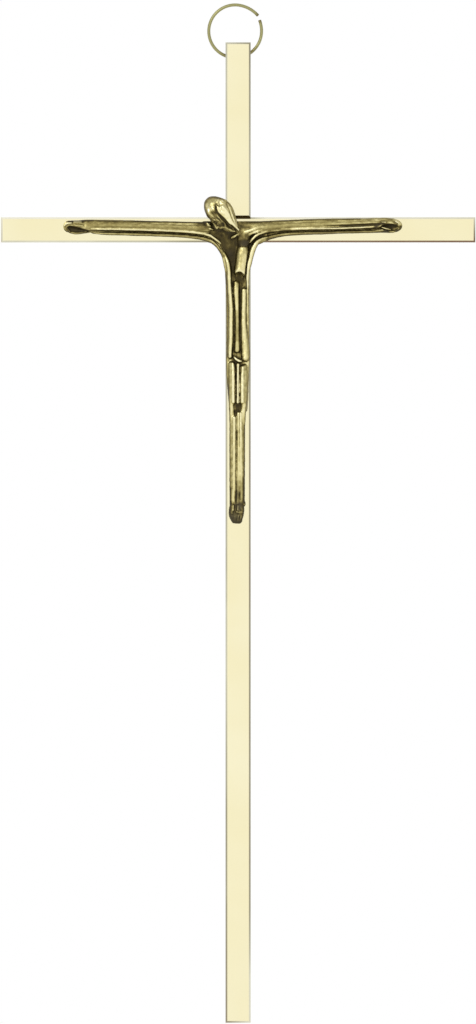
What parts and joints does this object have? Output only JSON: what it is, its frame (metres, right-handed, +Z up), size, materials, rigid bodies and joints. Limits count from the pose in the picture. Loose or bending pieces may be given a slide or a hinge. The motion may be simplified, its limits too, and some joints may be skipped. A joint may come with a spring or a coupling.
{
  "type": "wall crucifix",
  "caption": "Slender wall crucifix of flat bevelled brass bars with a stylised cast figure and an open wire hanging ring.",
  "frame": {"origin": "where a nail bears on the inside of the hanging ring, over the middle of the upright and in the middle of the bars' thickness", "axes": "+Z up along the upright, +X to the viewer's right along the crossbar, +Y from the figure towards the wall"},
  "size_m": [0.121, 0.0101, 0.26],
  "materials": {
    "polished_brass": "polished pale brass",
    "antique_brass": "cast, darkened in the hollows and rubbed bright on the ridges",
    "ring_brass": "drawn wire, lightly tarnished",
    "pin_brass": "hammered and filed flush"
  },
  "bodies": {
    "ring": {"hanging_ring": "ring_brass"},
    "cross": {"upright_bar": "polished_brass", "crossbar": "polished_brass", "corpus": "antique_brass", "corpus_pins": "pin_brass"}
  },
  "joints": [
    {"name": "ring_swing", "type": "hinge", "parent": "ring", "child": "cross", "pos_m": [0, 0, -0.01233], "axis": [1, 0, 0], "range_deg": [-168, 168]}
  ]
}
